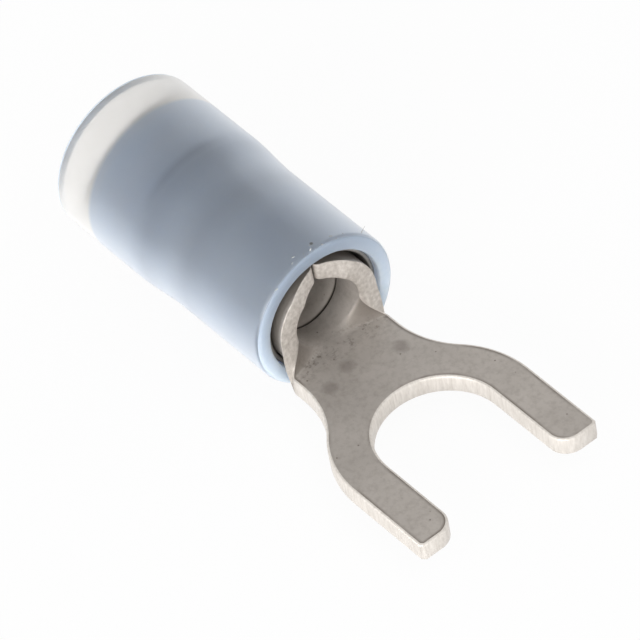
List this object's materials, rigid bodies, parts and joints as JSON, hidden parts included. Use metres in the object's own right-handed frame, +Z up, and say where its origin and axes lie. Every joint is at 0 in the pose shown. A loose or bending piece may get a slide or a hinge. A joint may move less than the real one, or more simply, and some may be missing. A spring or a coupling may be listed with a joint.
{
  "type": "fork terminal",
  "caption": "Insulated fork terminal: a flat tongue with an open slot for a stud, a rolled wire barrel, and a translucent sleeve over an inner grip sleeve.",
  "frame": {"origin": "centre of the slot's round end, on the underside of the tongue", "axes": "+X out of the fork's mouth along the terminal, +Y across the tongue, +Z up from the tongue towards the barrel's seam"},
  "size_m": [0.0225, 0.0086, 0.0068],
  "materials": {
    "tinned_copper": "matte electro-tinned copper sheet with bright sheared edges",
    "tinned_sleeve": "thin drawn tube, tinned",
    "nylon": "translucent pale blue moulded nylon"
  },
  "bodies": {
    "root": {"terminal_body": "tinned_copper", "grip_sleeve": "tinned_sleeve", "cover_sleeve": "nylon"}
  },
  "joints": []
}
